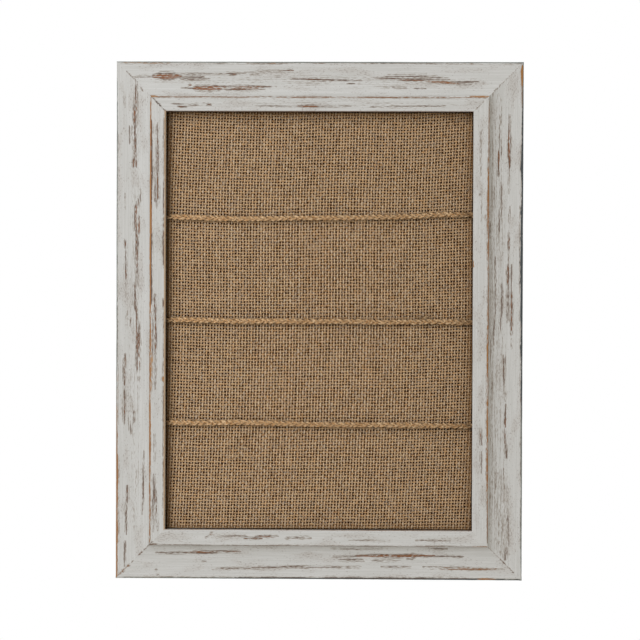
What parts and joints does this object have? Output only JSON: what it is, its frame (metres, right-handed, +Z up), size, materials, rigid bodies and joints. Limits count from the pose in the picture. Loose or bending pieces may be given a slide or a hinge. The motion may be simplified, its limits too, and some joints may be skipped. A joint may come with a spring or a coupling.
{
  "type": "burlap memo board",
  "caption": "Portrait wall board: burlap-covered panel in a mitred, distressed white cove-and-lip frame, crossed by level lines of jute twine; turn-button back and sawtooth hanger.",
  "frame": {"origin": "middle notch of the sawtooth hanger, on its wall side, where a wall nail carries the board", "axes": "+X to the right as seen from the front, +Y back into the wall, +Z up"},
  "size_m": [0.2794, 0.0218, 0.3556],
  "materials": {
    "distressed_painted_wood": "chalky white paint rubbed back to brown wood on the arrises and along the grain",
    "burlap": "plain-woven natural jute",
    "jute_twine": "three-strand plait of natural jute yarn",
    "hardboard": "pressed brown fibreboard",
    "zinc_plated_steel": "zinc-plated pressed steel",
    "brassed_steel": "brass-plated pressed steel"
  },
  "bodies": {
    "board": {"rail_top": "distressed_painted_wood", "rail_bottom": "distressed_painted_wood", "rail_left": "distressed_painted_wood", "rail_right": "distressed_painted_wood", "board_core": "hardboard", "burlap_cloth": "burlap", "twine_upper": "jute_twine", "twine_middle": "jute_twine", "twine_lower": "jute_twine", "twine_staple_upper_left": "zinc_plated_steel", "twine_staple_upper_right": "zinc_plated_steel", "twine_staple_middle_left": "zinc_plated_steel", "twine_staple_middle_right": "zinc_plated_steel", "twine_staple_lower_left": "zinc_plated_steel", "twine_staple_lower_right": "zinc_plated_steel", "back_panel": "hardboard", "button_screw_upper_left": "zinc_plated_steel", "button_screw_upper_right": "zinc_plated_steel", "button_screw_lower_left": "zinc_plated_steel", "button_screw_lower_right": "zinc_plated_steel", "corner_wedge_bottom_right_outer": "zinc_plated_steel", "corner_wedge_bottom_right_inner": "zinc_plated_steel", "corner_wedge_right_top_outer": "zinc_plated_steel", "corner_wedge_right_top_inner": "zinc_plated_steel", "corner_wedge_top_left_outer": "zinc_plated_steel", "corner_wedge_top_left_inner": "zinc_plated_steel", "corner_wedge_left_bottom_outer": "zinc_plated_steel", "corner_wedge_left_bottom_inner": "zinc_plated_steel", "sawtooth_hanger": "brassed_steel", "hanger_nail_left": "brassed_steel", "hanger_nail_right": "brassed_steel"},
    "turn_button_upper_left": {"turn_button_upper_left": "zinc_plated_steel"},
    "turn_button_upper_right": {"turn_button_upper_right": "zinc_plated_steel"},
    "turn_button_lower_left": {"turn_button_lower_left": "zinc_plated_steel"},
    "turn_button_lower_right": {"turn_button_lower_right": "zinc_plated_steel"}
  },
  "joints": [
    {"name": "turn_upper_left", "type": "hinge", "parent": "board", "child": "turn_button_upper_left", "pos_m": [-0.1213, -0.0026, -0.066], "axis": [0, 1, 0], "continuous": true},
    {"name": "turn_upper_right", "type": "hinge", "parent": "board", "child": "turn_button_upper_right", "pos_m": [0.1213, -0.0026, -0.066], "axis": [0, 1, 0], "continuous": true},
    {"name": "turn_lower_left", "type": "hinge", "parent": "board", "child": "turn_button_lower_left", "pos_m": [-0.1213, -0.0026, -0.256], "axis": [0, 1, 0], "continuous": true},
    {"name": "turn_lower_right", "type": "hinge", "parent": "board", "child": "turn_button_lower_right", "pos_m": [0.1213, -0.0026, -0.256], "axis": [0, 1, 0], "continuous": true}
  ]
}
